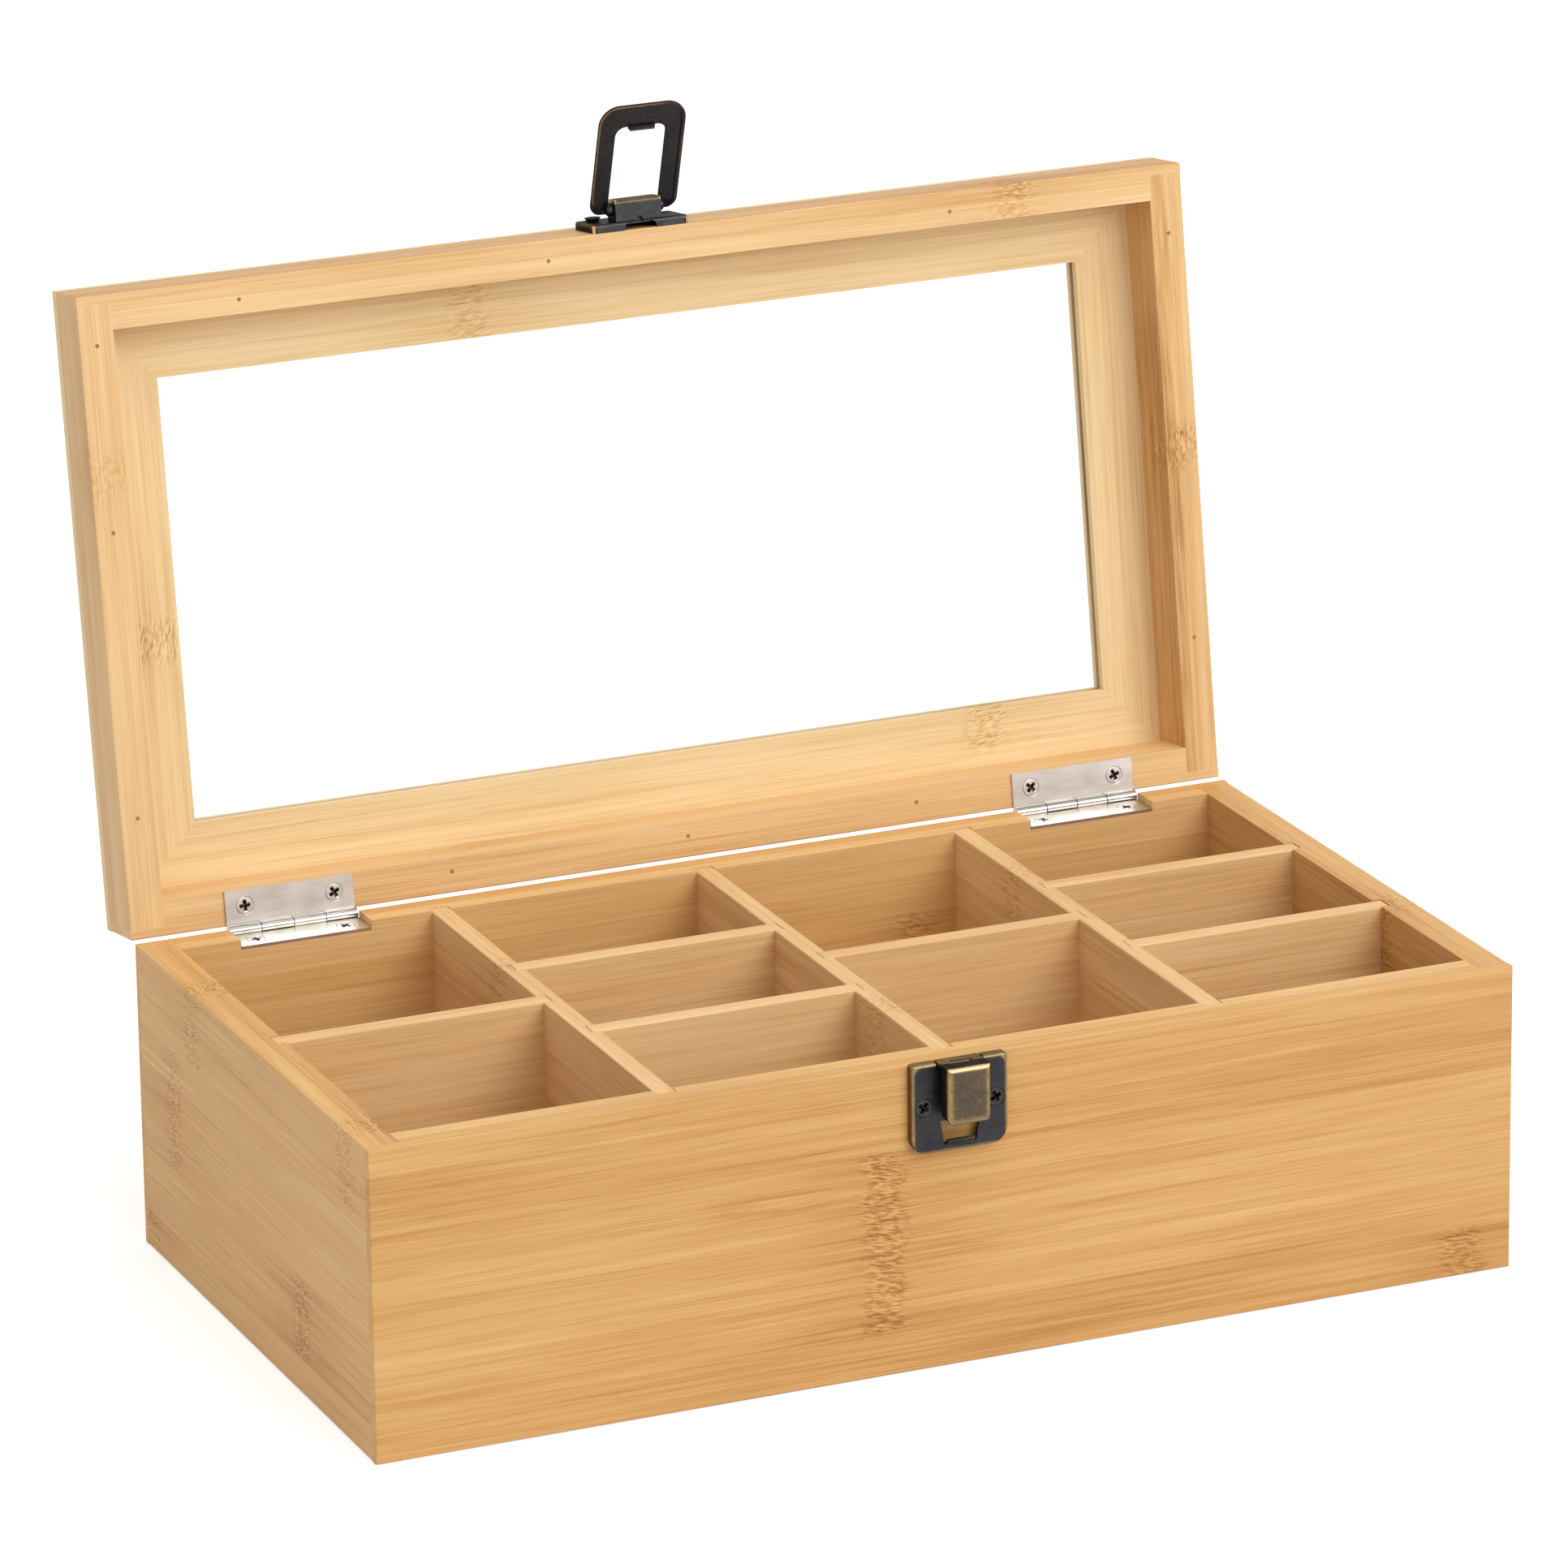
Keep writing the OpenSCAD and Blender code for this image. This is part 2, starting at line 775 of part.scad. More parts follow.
// Hasp plate on the lid: a shallow tray with an arch in its lower edge, and the tongue
module hasp_plate() {
  color(bronze)
    opened()
      on_front(lid_z)
        difference() {
          union() {
            difference() {
              translate([-hasp_w / 2, 0, 0])
                domed_plate(hasp_w, hasp_h, hasp_proud,
                  [hasp_corner, hasp_corner, hasp_corner, hasp_corner], dome);
              translate([sheet - hasp_w / 2, sheet, -cut])
                cube([hasp_w - 2 * sheet, hasp_h - 2 * sheet, hasp_proud - sheet + cut]);
              for (s = [-1, 1])
                translate([s * (hasp_w / 2 - sheet) - seam_w / 2, -cut, -cut])
                  cube([seam_w, hasp_h + 2 * cut, hasp_proud - sheet + cut]);
            }
            translate([-tongue_w / 2, tongue_low, hasp_proud - sheet])
              rotate([90, 0, 90])
                linear_extrude(tongue_w)
                  eased_rect(tongue_high - tongue_low, tongue_top - hasp_proud + sheet,
                    [0, 0, tongue_ease, tongue_ease]);
          }
          translate([-tongue_w / 2 - cut, bar_up, bar_out])
            rotate([0, 90, 0])
              cylinder(d = bar_d + 2 * running_fit, h = tongue_w + 2 * cut);
          translate([-arch_w / 2, -cut, -cut])
            rotate([90, 0, 0])
              translate([0, 0, -sheet - 2 * cut])
                linear_extrude(sheet + 2 * cut)
                  eased_rect(arch_w, arch_h + cut, [0, 0, arch_corner, arch_corner]);
          translate([0, tongue_low - cut, hasp_proud])
            rotate([-90, 0, 0])
              cylinder(d = notch_d, h = sheet + cut);
          for (s = [-1, 1])
            translate([s * hasp_screw_x, hasp_screw_up, hasp_proud])
              screw_hole(hasp_head_d, clasp_screw_long);
        }
}

module hasp_screws() {
  color(bronze)
    opened()
      hasp_screw_places()
        screw(hasp_head_d, clasp_screw_long);
}

// Loop in its own frame: X across, -Y from the pivot bar to the far bar, Z outwards
module loop_plate() {
  difference() {
    translate([-loop_w / 2, -loop_reach, loop_rim])
      domed_plate(loop_w, loop_reach + loop_foot, loop_face - loop_rim,
        [loop_corner, loop_corner, loop_foot_corner, loop_foot_corner], sheet);
    translate([sheet - loop_w / 2, sheet - loop_reach, loop_rim - cut])
      linear_extrude(loop_face - loop_rim - sheet + cut)
        eased_rect(loop_w - 2 * sheet, loop_reach + loop_foot - 2 * sheet, [
          loop_corner - sheet,
          loop_corner - sheet,
          loop_foot_corner - sheet,
          loop_foot_corner - sheet,
        ]);
  }
}

// Bar that turns in the tongue, its ends eased and lapped by the feet of the side bars
module pivot_bar() {
  long = loop_w - 2 * loop_bar + 2 * pivot_lap;
  translate([-long / 2, 0, 0])
    rotate([0, 90, 0]) {
      cylinder(d1 = bar_d - 2 * pivot_end, d2 = bar_d, h = pivot_end);
      translate([0, 0, pivot_end]) cylinder(d = bar_d, h = long - 2 * pivot_end);
      translate([0, 0, long - pivot_end])
        cylinder(d1 = bar_d, d2 = bar_d - 2 * pivot_end, h = pivot_end);
    }
}

module loop_body() {
  window_w = loop_w - 2 * loop_bar;
  window_y = loop_far_bar - loop_reach;
  difference() {
    loop_plate();
    translate([-window_w / 2, window_y, 0])
      linear_extrude(loop_face + cut)
        eased_rect(window_w, loop_foot + cut - window_y, [loop_window_corner, loop_window_corner, 0, 0]);
  }
  pivot_bar();
  translate([-latch_tab_w / 2, window_y - sheet / 2, loop_face - latch_tab_deep])
    cube([latch_tab_w, 1.5 * sheet, latch_tab_deep]);
}

module hasp_loop() {
  color(bronze)
    opened()
      on_front(lid_z)
        translate([0, bar_up, bar_out])
          rotate([-loop_angle, 0, 0])
            loop_body();
}

front_panel();
back_panel();
left_panel();
right_panel();
floor_panel();
divider_left();
divider_middle();
divider_right();
cross_far_left();
cross_left_front();
cross_left_back();
cross_right();
cross_far_right_front();
cross_far_right_back();
left_hinge_base_leaf();
right_hinge_base_leaf();
left_hinge_pin();
right_hinge_pin();
hinge_base_screws();
catch_plate();
catch_screws();
lid_front_rail();
lid_back_rail();
lid_left_rail();
lid_right_rail();
lid_brads();
frame_front();
frame_back();
frame_left();
frame_right();
window_pane();
left_hinge_lid_leaf();
right_hinge_lid_leaf();
hinge_lid_screws();
hasp_plate();
hasp_screws();
hasp_loop();
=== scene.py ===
"""The bamboo tea bag organizer box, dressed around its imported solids, section by section as the
real box is put together: boards, floor and dividers, hinges, catch, lid, pane, hasp and loop."""

import json
import math

import bpy
import numpy as np
from mathutils import Matrix, Vector


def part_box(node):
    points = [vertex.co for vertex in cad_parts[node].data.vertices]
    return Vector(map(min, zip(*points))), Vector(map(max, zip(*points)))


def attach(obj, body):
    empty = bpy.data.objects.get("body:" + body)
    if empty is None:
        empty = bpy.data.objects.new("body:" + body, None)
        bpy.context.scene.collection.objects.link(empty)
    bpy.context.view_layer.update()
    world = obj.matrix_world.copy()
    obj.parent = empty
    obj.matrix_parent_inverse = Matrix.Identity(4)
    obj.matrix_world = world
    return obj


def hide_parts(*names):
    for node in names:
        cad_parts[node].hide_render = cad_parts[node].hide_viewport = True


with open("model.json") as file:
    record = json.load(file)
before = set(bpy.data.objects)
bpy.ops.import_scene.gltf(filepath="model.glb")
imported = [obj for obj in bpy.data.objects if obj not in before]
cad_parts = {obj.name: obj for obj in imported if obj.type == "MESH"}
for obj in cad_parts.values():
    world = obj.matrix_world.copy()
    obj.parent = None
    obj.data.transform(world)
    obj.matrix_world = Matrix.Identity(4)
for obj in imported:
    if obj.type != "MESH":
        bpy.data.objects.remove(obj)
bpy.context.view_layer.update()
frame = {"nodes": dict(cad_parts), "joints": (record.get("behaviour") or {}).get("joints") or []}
MM = 0.001

# The camera stands 2.5 m off, left of the front and a little above, with a long lens, level but for
# a slight roll.
AZIMUTH = math.radians(-23.20)
LIFT = math.radians(18.33)
ROLL = math.radians(-0.76)
DISTANCE = 2.5253
SHIFT_RIGHT, SHIFT_UP = -0.0109, 0.1305
FOCAL_MM = 208.55

toward = Vector((
    math.sin(AZIMUTH) * math.cos(LIFT),
    -math.cos(AZIMUTH) * math.cos(LIFT),
    math.sin(LIFT),
))
level_right = Vector((0, 0, 1)).cross(toward).normalized()
level_up = toward.cross(level_right)
right = level_right * math.cos(ROLL) + level_up * math.sin(ROLL)
up = level_up * math.cos(ROLL) - level_right * math.sin(ROLL)
turn = Matrix((right, up, toward)).transposed().to_4x4()
place = toward * DISTANCE + right * SHIFT_RIGHT + up * SHIFT_UP
camera_data = bpy.data.cameras.new("view")
camera_data.lens = FOCAL_MM
camera_data.sensor_width = 36
camera_data.clip_end = 20
camera = bpy.data.objects.new("view", camera_data)
camera.matrix_world = Matrix.Translation(place) @ turn
bpy.context.scene.collection.objects.link(camera)
bpy.context.scene.camera = camera
bpy.context.scene.view_settings.view_transform = "Standard"


# A white table in a white studio. It is lit plainly; what the camera and the metal see of it is
# lifted to white, and it keeps the soft shadow at the foot of the box.
def put(tree, kind, inputs=None, **settings):
    """Adds a shader node; a socket among the inputs is linked, a plain value is set."""
    made = tree.nodes.new(kind)
    for name, value in settings.items():
        setattr(made, name, value)
    for name, value in (inputs or {}).items():
        if isinstance(value, bpy.types.NodeSocket):
            tree.links.new(value, made.inputs[name])
        else:
            made.inputs[name].default_value = value
    return made


def calc(tree, operation, a, b=0.0, c=0.0, clamp=False):
    """The result socket of one Math node."""
    made = put(tree, "ShaderNodeMath", {0: a, 1: b, 2: c}, operation=operation, use_clamp=clamp)
    return made.outputs[0]


def new_material(name):
    """A material with an empty node tree and its output node."""
    made = bpy.data.materials.new(name)
    made.use_nodes = True
    made.node_tree.nodes.clear()
    return made, made.node_tree, put(made.node_tree, "ShaderNodeOutputMaterial")


def clear_sight(tree):
    """1 for rays that come straight from the camera, off a mirror or through glass."""
    path = put(tree, "ShaderNodeLightPath")
    seen = calc(tree, "ADD", path.outputs["Is Camera Ray"], path.outputs["Is Glossy Ray"])
    return calc(tree, "ADD", seen, path.outputs["Is Transmission Ray"], clamp=True)


AMBIENT = 0.64
FLOOR_GLOW = 0.48
FLOOR_WHITE = 0.75

world = bpy.data.worlds.new("studio")
bpy.context.scene.world = world
world.use_nodes = True
tree = world.node_tree
tree.nodes.clear()
dim = put(tree, "ShaderNodeBackground", {"Color": (1, 1, 1, 1), "Strength": AMBIENT})
white = put(tree, "ShaderNodeBackground", {"Color": (1, 1, 1, 1), "Strength": 1.0})
mixed = put(tree, "ShaderNodeMixShader", {0: clear_sight(tree), 1: dim.outputs[0], 2: white.outputs[0]})
put(tree, "ShaderNodeOutputWorld", {"Surface": mixed.outputs[0]})

FLOOR_HALF = 4.0
FLOOR_Z = -0.0002
floor_mesh = bpy.data.meshes.new("table_top")
floor_mesh.from_pydata(
    [(sx * FLOOR_HALF, sy * FLOOR_HALF, FLOOR_Z) for sx, sy in ((-1, -1), (1, -1), (1, 1), (-1, 1))],
    [],
    [(0, 1, 2, 3)],
)
table_top = bpy.data.objects.new("table_top", floor_mesh)
bpy.context.scene.collection.objects.link(table_top)
table_white, tree, out = new_material("table_white")
matt = put(tree, "ShaderNodeBsdfDiffuse", {"Color": (FLOOR_WHITE, FLOOR_WHITE, FLOOR_WHITE, 1)})
glow = put(tree, "ShaderNodeEmission", {"Color": (1, 1, 1, 1), "Strength": FLOOR_GLOW})
lifted = put(tree, "ShaderNodeAddShader", {0: matt.outputs[0], 1: glow.outputs[0]})
shown = put(tree, "ShaderNodeMixShader", {0: clear_sight(tree), 1: matt.outputs[0], 2: lifted.outputs[0]})
tree.links.new(shown.outputs[0], out.inputs["Surface"])
floor_mesh.materials.append(table_white)


def lamp(name, place, aim, size, power):
    """A square soft box of that size, at place, turned to face aim."""
    data = bpy.data.lights.new(name, "AREA")
    data.size = size
    data.energy = power
    made = bpy.data.objects.new(name, data)
    made.location = place
    made.rotation_euler = (Vector(aim) - Vector(place)).to_track_quat("-Z", "Y").to_euler()
    bpy.context.scene.collection.objects.link(made)


BOX_MIDDLE = (0, 0.03, 0.12)
lamp("front_box", (0.9, -2.2, 1.6), BOX_MIDDLE, 1.6, 37)
lamp("top_box", (-0.3, -0.3, 2.4), BOX_MIDDLE, 1.8, 17)


# Bamboo boards: each is glued up from strips of culm wall that run along it, so it shows fine
# straight fibres, a tone of its own for each strip, and dark bands where the culm had its nodes.
SEED_STEPS = (7.31, 3.17, 5.73)


class Grain:
    """Where a point lies in a piece, in millimetres: u along the fibres, v across the strips on
    the wide face and w through the thickness, as three sockets and as one vector."""

    def __init__(self, tree, axes, untilt=None):
        """untilt is (angle, y, z, own y, own z): the turn about X back from the pose shown, the
        point it is about, and where that point lies in the piece's own frame, in metres."""
        coordinates = put(tree, "ShaderNodeTexCoord").outputs["Object"]
        if untilt is not None:
            angle, y, z, own_y, own_z = untilt
            back = Matrix.Rotation(angle, 3, "X")
            coordinates = put(tree, "ShaderNodeMapping", {
                "Vector": coordinates,
                "Rotation": (angle, 0, 0),
                "Location": Vector((0, own_y, own_z)) - back @ Vector((0, y, z)),
            }).outputs[0]
        scaled = put(tree, "ShaderNodeVectorMath", {0: coordinates, "Scale": 1 / MM}, operation="SCALE")
        parts = put(tree, "ShaderNodeSeparateXYZ", {0: scaled.outputs[0]})
        self.tree = tree
        self.u, self.v, self.w = (parts.outputs["XYZ".index(letter)] for letter in axes)
        self.at = self.vector(self.u, self.v, self.w)

    def vector(self, u, v, w):
        """Three sockets as one vector."""
        return put(self.tree, "ShaderNodeCombineXYZ", {0: u, 1: v, 2: w}).outputs[0]

    def noise(self, long, wide, deep, seed, detail=2.0, at=None, roughness=0.5):
        """Noise whose spots are about long x wide x deep millimetres, from 0 to 1."""
        stretched = put(self.tree, "ShaderNodeVectorMath", {
            0: at or self.at,
            1: (1 / long, 1 / wide, 1 / deep),
            2: tuple(seed * step for step in SEED_STEPS),
        }, operation="MULTIPLY_ADD")
        return put(self.tree, "ShaderNodeTexNoise", {
            "Vector": stretched.outputs[0],
            "Scale": 1.0,
            "Detail": detail,
            "Roughness": roughness,
        }).outputs[0]

    def fibres(self, u, v, pitch, long, seed, detail=1.0):
        """Noise that runs along separate fibres, pitch millimetres apart in v and w. Their rows are
        whole numbers, so noise with spots of under 1 there gives each its own."""
        row = calc(self.tree, "FLOOR", calc(self.tree, "MULTIPLY_ADD", v, 1 / pitch, 0.37))
        layer = calc(self.tree, "FLOOR", calc(self.tree, "MULTIPLY_ADD", self.w, 1 / pitch, 0.37))
        return self.noise(long, 0.29, 0.31, seed, detail, at=self.vector(u, row, layer))


def ramp(tree, value, stops):
    """Colours at places from 0 to 1, as one socket."""
    made = put(tree, "ShaderNodeValToRGB", {0: value})
    band = made.color_ramp
    while len(band.elements) < len(stops):
        band.elements.new(0.5)
    for element, (place, colour) in zip(band.elements, stops):
        element.position = place
        element.color = (*colour, 1)
    return made.outputs[0]


def smooth(tree, value, low, high, to_low=0.0, to_high=1.0):
    """Eased step from to_low at low to to_high at high."""
    if low > high:
        low, high, to_low, to_high = high, low, to_high, to_low
    return put(tree, "ShaderNodeMapRange", {
        "Value": value,
        "From Min": low,
        "From Max": high,
        "To Min": to_low,
        "To Max": to_high,
    }, interpolation_type="SMOOTHSTEP").outputs[0]


def distance(tree, a, b):
    """How far off a point is that lies a along and b across."""
    return calc(tree, "SQRT", calc(tree, "MULTIPLY_ADD", a, a, calc(tree, "MULTIPLY", b, b)))


def varied(tree, start, value, gain):
    """start with value, which has its middle at a half, added gain times."""
    return calc(tree, "MULTIPLY_ADD", calc(tree, "SUBTRACT", value, 0.5), gain, start)


HONEY = [(0.0, (0.34, 0.135, 0.030)), (0.25, (0.51, 0.250, 0.076)), (0.5, (0.64, 0.355, 0.126)),
         (0.75, (0.73, 0.445, 0.180)), (1.0, (0.82, 0.55, 0.26))]
STRAW = [(0.0, (0.44, 0.21, 0.065)), (0.25, (0.63, 0.36, 0.142)), (0.5, (0.76, 0.485, 0.225)),
         (0.75, (0.83, 0.58, 0.305)), (1.0, (0.89, 0.68, 0.41))]
PALE = [(0.0, (0.50, 0.29, 0.105)), (0.25, (0.70, 0.48, 0.215)), (0.5, (0.83, 0.615, 0.33)),
        (0.75, (0.88, 0.70, 0.42)), (1.0, (0.92, 0.77, 0.52))]


def culm_band(grain, tone, relief, ragged, threads, curls, culm):
    """Tone and relief with one node of the culm added: curled dark fibres in a band across the
    strips, and a cloud of darker threads on both sides of it."""
    tree = grain.tree
    u, low, high, strength = culm
    knots = smooth(tree, curls, 0.32, 0.68, -0.60, 0.30)
    spread = calc(tree, "ABSOLUTE", calc(tree, "SUBTRACT", calc(tree, "ADD", grain.u, ragged), u))
    above = smooth(tree, grain.v, low - 1.5, low + 2.5)
    below = smooth(tree, grain.v, high + 1.5, high - 2.5)
    rows = calc(tree, "MULTIPLY", above, below)
    core = calc(tree, "MULTIPLY", rows, smooth(tree, spread, 9.0, 3.0))
    cloud = calc(tree, "MULTIPLY", rows, smooth(tree, spread, 38.0, 4.0))
    tone = calc(tree, "MULTIPLY_ADD", core, calc(tree, "MULTIPLY", knots, 0.62 * strength), tone)
    drawn = calc(tree, "MULTIPLY_ADD", threads, -0.34 * strength, 0.07 * strength)
    tone = calc(tree, "MULTIPLY_ADD", cloud, drawn, tone)
    return tone, calc(tree, "MULTIPLY_ADD", core, calc(tree, "MULTIPLY", curls, 2.2), relief)


def stained(grain, tone, ragged, lane, threads, patch):
    """Tone with one darker place added, which ends along the fibres."""
    tree = grain.tree
    u, v, half_u, half_v, strength = patch
    off_u = calc(tree, "SUBTRACT", calc(tree, "ADD", grain.u, ragged), u)
    off_u = calc(tree, "DIVIDE", off_u, half_u)
    off_v = calc(tree, "DIVIDE", calc(tree, "SUBTRACT", lane, v), half_v)
    spot = smooth(tree, distance(tree, off_u, off_v), 1.0, 0.2)
    stain = calc(tree, "MULTIPLY", spot, smooth(tree, threads, 0.3, 0.6))
    return calc(tree, "MULTIPLY_ADD", stain, -strength, tone)


def heartwood(grain, tone, seed, middle, half, strength):
    """Tone with a swaying dark line along the fibres added, half wide each way from w = middle."""
    tree = grain.tree
    sway = calc(tree, "MULTIPLY_ADD", grain.noise(60, 400, 400, seed + 8, 1), 2.4, -1.2)
    off = calc(tree, "SUBTRACT", calc(tree, "ADD", grain.w, sway), middle)
    band = smooth(tree, calc(tree, "ABSOLUTE", off), half, half * 0.4)
    patchy = smooth(tree, grain.noise(16, 0.9, 0.9, seed + 9, 3), 0.25, 0.75, 0.35, 1.0)
    return calc(tree, "MULTIPLY_ADD", calc(tree, "MULTIPLY", band, patchy), -strength, tone)


def bamboo(name, axes, seed, tones=HONEY, strip=21.0, culms=(), ply=None, streak=None, face=None,
           patches=(), untilt=None):
    """Lacquered bamboo. culms lists the nodes of the culm as (u, lowest v, highest v, strength),
    patches darker places as (u, v, half u, half v, strength), ply is (w of the glue line, outer
    tone, inner tone), face a painted shade for what lies beyond w as (w, tone), and streak a line of dark
    heartwood as (middle w, half width, strength)."""
    made, tree, out = new_material(name)
    grain = Grain(tree, axes, untilt)
    # Each strip has its own tone and its own stretch of culm, and its fibres wander a little.
    across = calc(tree, "ADD", grain.v, seed * 3.7)
    row = calc(tree, "FLOOR", calc(tree, "DIVIDE", across, strip))
    own = put(tree, "ShaderNodeTexWhiteNoise", {"W": calc(tree, "ADD", row, seed)},
              noise_dimensions="1D").outputs[0]
    along = calc(tree, "MULTIPLY_ADD", own, 400.0, grain.u)
    shifted = grain.vector(along, grain.v, grain.w)
    lane = calc(tree, "MULTIPLY_ADD", grain.noise(55, 9, 9, seed + 7, 1, at=shifted), 1.1, grain.v)
    tone = calc(tree, "MULTIPLY_ADD", own, 0.10, 0.45)
    # Clouds and streaks come first, then the coarse and the fine fibres, then the finest lines.
    fine = grain.fibres(along, lane, 0.43, 48, seed + 4, 2.0)
    for value, gain in (
        (grain.noise(120, 13, 13, seed + 1, 1, at=shifted), 0.34),
        (grain.noise(260, 3.0, 3.0, seed + 2, 2, at=shifted), 0.26),
        (grain.fibres(along, lane, 1.35, 80, seed + 3), 0.34),
        (fine, 0.56),
        (grain.noise(26, 0.26, 0.26, seed + 5, 2, at=shifted), 0.34),
    ):
        tone = varied(tree, tone, value, gain)
    # Short dark pores lie along the fibres, and a thin glue line between two strips.
    flecks = smooth(tree, grain.fibres(along, lane, 0.29, 13, seed + 13), 0.62, 0.76)
    tone = calc(tree, "MULTIPLY_ADD", flecks, -0.09, tone)
    glue = smooth(tree, calc(tree, "PINGPONG", across, strip), 0.10, 0.30, 1.0, 0.0)
    tone = calc(tree, "MULTIPLY_ADD", glue, -0.06, tone)
    if ply:
        line, outer, inner = ply
        side = smooth(tree, calc(tree, "ABSOLUTE", grain.w), line - 0.12, line + 0.12, inner, outer)
        tone = calc(tree, "ADD", tone, side)
    # The outer skin of a face is darkened as painted shade.
    if face:
        beyond, change = face
        shade = smooth(tree, calc(tree, "ABSOLUTE", grain.w), beyond - 0.15, beyond, 0.0, change)
        tone = calc(tree, "ADD", tone, shade)
    if streak:
        tone = heartwood(grain, tone, seed, *streak)
    relief = fine
    if culms or patches:
        ragged = calc(tree, "MULTIPLY_ADD", grain.noise(70, 4, 4, seed + 10, 2), 10.0, -5.0)
        threads = grain.fibres(along, lane, 0.9, 30, seed + 14)
        slant = calc(tree, "MULTIPLY_ADD", grain.u, 0.16, grain.v)
        leaning = grain.vector(grain.u, slant, grain.w)
        curls = grain.noise(2.7, 0.52, 0.52, seed + 11, 2, at=leaning)
    for culm in culms:
        tone, relief = culm_band(grain, tone, relief, ragged, threads, curls, culm)
    for patch in patches:
        tone = stained(grain, tone, ragged, lane, threads, patch)
    colour = ramp(tree, calc(tree, "ADD", tone, 0.0, clamp=True), tones)
    sheen = calc(tree, "MULTIPLY_ADD", grain.noise(60, 0.8, 0.8, seed + 12, 1), 0.16, 0.42)
    bump = put(tree, "ShaderNodeBump", {"Strength": 0.3, "Distance": 0.00008, "Height": relief})
    body = put(tree, "ShaderNodeBsdfPrincipled", {
        "Base Color": colour,
        "Roughness": sheen,
        "Specular IOR Level": 0.22,
        "Normal": bump.outputs[0],
    })
    tree.links.new(body.outputs[0], out.inputs["Surface"])
    return made


def dress(material, *nodes):
    """Gives CAD nodes that material."""
    for node in nodes:
        mesh = frame["nodes"][node].data
        for index in range(len(mesh.materials)):
            mesh.materials[index] = material


HALF_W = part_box("front_panel")[1].x / MM
HALF_D = -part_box("front_panel")[0].y / MM
WALL = HALF_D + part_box("front_panel")[1].y / MM
GLUE_Y = HALF_D - WALL / 2
GLUE_X = HALF_W - WALL / 2

dress(
    bamboo("bamboo_front", "XZY", 1.0, ply=(GLUE_Y, 0.0, 0.20),
           culms=[(-21, 12, 64, 1.0), (152, -4, 14, 0.8)],
           patches=[(-54, 55, 30, 6, 0.22), (2, 33, 20, 8, 0.12), (40, 8, 60, 5, 0.10)]),
    "front_panel",
)
dress(
    bamboo("bamboo_back", "XZY", 2.0, ply=(GLUE_Y, 0.0, 0.20),
           culms=[(64, 20, 66, 0.9), (-118, -4, 22, 0.8)], patches=[(-20, 60, 40, 6, 0.18)]),
    "back_panel",
)
dress(
    bamboo("bamboo_left", "YZX", 3.0, ply=(GLUE_X, 0.10, -0.04),
           culms=[(62, 30, 66, 0.9), (46, 66, 92, 0.8), (-72, 66, 92, 0.8), (-36, 10, 34, 1.0),
                  (84, -4, 12, 0.8)]),
    "left_panel",
)
dress(
    bamboo("bamboo_right", "YZX", 4.0, ply=(GLUE_X, 0.10, -0.04),
           culms=[(-30, 44, 92, 0.8), (52, 0, 40, 0.9)]),
    "right_panel",
)

# Floor: one thin bamboo panel with its fibres along the box, glued into the rebate under the
# walls and flush with their lower edges.
dress(bamboo("bamboo_floor", "XYZ", 5.0, culms=[(-70, -40, 10, 0.8), (96, 0, 60, 0.8)]), "floor_panel")

# Dividers: thin bamboo strips on edge, the long ones from front to back, the short ones housed
# between them, with lightly broken edges.
LONG_DIVIDERS = (("divider_left", 30), ("divider_middle", -44), ("divider_right", 41))
for index, (node, culm_y) in enumerate(LONG_DIVIDERS):
    culm = (culm_y, -4, 92, 0.6)
    dress(bamboo(f"bamboo_{node}", "YZX", 6.0 + index, tones=STRAW, culms=[culm]), node)
for index, node in enumerate((
    "cross_far_left", "cross_left_front", "cross_left_back",
    "cross_right", "cross_far_right_front", "cross_far_right_back",
)):
    dress(bamboo(f"bamboo_{node}", "XZY", 9.0 + index, tones=STRAW), node)


# Hinges: satin nickel plated steel sheet rolled round a pin, brushed along their length; the
# rolled barrel is smoother and darker than the leaves.
lid_hinge = next(joint for joint in frame["joints"] if joint["name"] == "lid_hinge")
AXIS_Y, AXIS_Z = lid_hinge["pos_m"][1:]
OPEN = math.radians(lid_hinge["range_deg"][1])
SHUT = (OPEN, AXIS_Y, AXIS_Z, AXIS_Y, AXIS_Z)
KNUCKLE_R = 1.65
HINGE_W, HINGE_INSET, LEAF_T = 38, 28, 0.9


